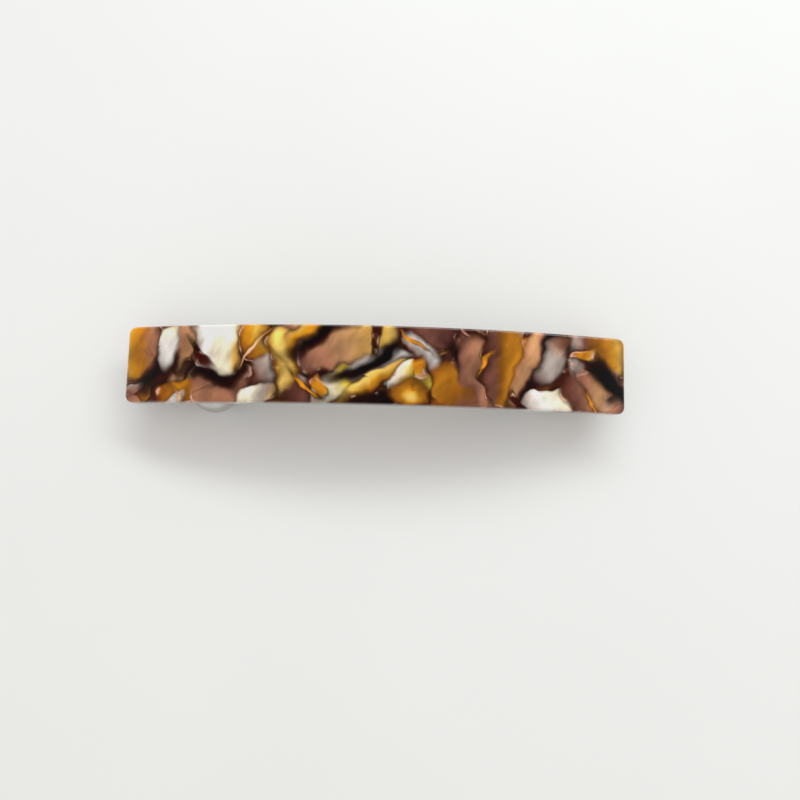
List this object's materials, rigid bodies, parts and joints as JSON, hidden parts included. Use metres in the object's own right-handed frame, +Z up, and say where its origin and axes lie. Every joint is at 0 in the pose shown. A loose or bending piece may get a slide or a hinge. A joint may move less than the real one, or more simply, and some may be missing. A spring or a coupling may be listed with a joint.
{
  "type": "barrette",
  "caption": "Arched rectangular marbled bar riveted over a sprung metal hair clip with a hinged clamping arm and a squeeze latch.",
  "frame": {"origin": "halfway along the clip, on its centre line, on the plane the closed barrette stands on", "axes": "+X along the bar from the latch end to the hinge end, +Z up out of the decorated face, +Y across it"},
  "size_m": [0.08, 0.0132, 0.0128],
  "materials": {
    "marbled_acetate": "polished cellulose acetate, marbled amber, brown, cream and pearl",
    "plated_steel": "bright nickel plate",
    "spring_steel": "plated spring steel"
  },
  "bodies": {
    "bar": {"acetate_bar": "marbled_acetate", "base_plate": "plated_steel", "hinge_pin": "spring_steel", "hinge_end_rivet": "spring_steel", "latch_end_rivet": "spring_steel", "latch_web": "spring_steel"},
    "arm": {"clamp_arm": "plated_steel"},
    "wing_rear": {"latch_wing_rear": "spring_steel"},
    "wing_front": {"latch_wing_front": "spring_steel"},
    "bow": {"tension_bow": "spring_steel"}
  },
  "joints": [
    {"name": "arm_hinge", "type": "hinge", "parent": "bar", "child": "arm", "pos_m": [0.02638, 0, 0.00271], "axis": [0, -1, 0], "range_deg": [0, 100]},
    {"name": "wing_rear_squeeze", "type": "hinge", "parent": "bar", "child": "wing_rear", "pos_m": [-0.02718, 0.0017, 0.00659], "axis": [-0.9791, 0, -0.2033], "range_deg": [0, 5.2], "stiffness_Nm_per_rad": 0.2},
    {"name": "wing_front_squeeze", "type": "hinge", "parent": "bar", "child": "wing_front", "pos_m": [-0.02718, -0.0017, 0.00659], "axis": [0.9791, 0, 0.2033], "range_deg": [0, 5.2], "stiffness_Nm_per_rad": 0.2},
    {"name": "bow_press", "type": "slide", "parent": "bar", "child": "bow", "axis": [0, 0, 1], "range_m": [0, 0.002], "stiffness_N_per_m": 1500, "deforming": ["tension_bow"]}
  ]
}
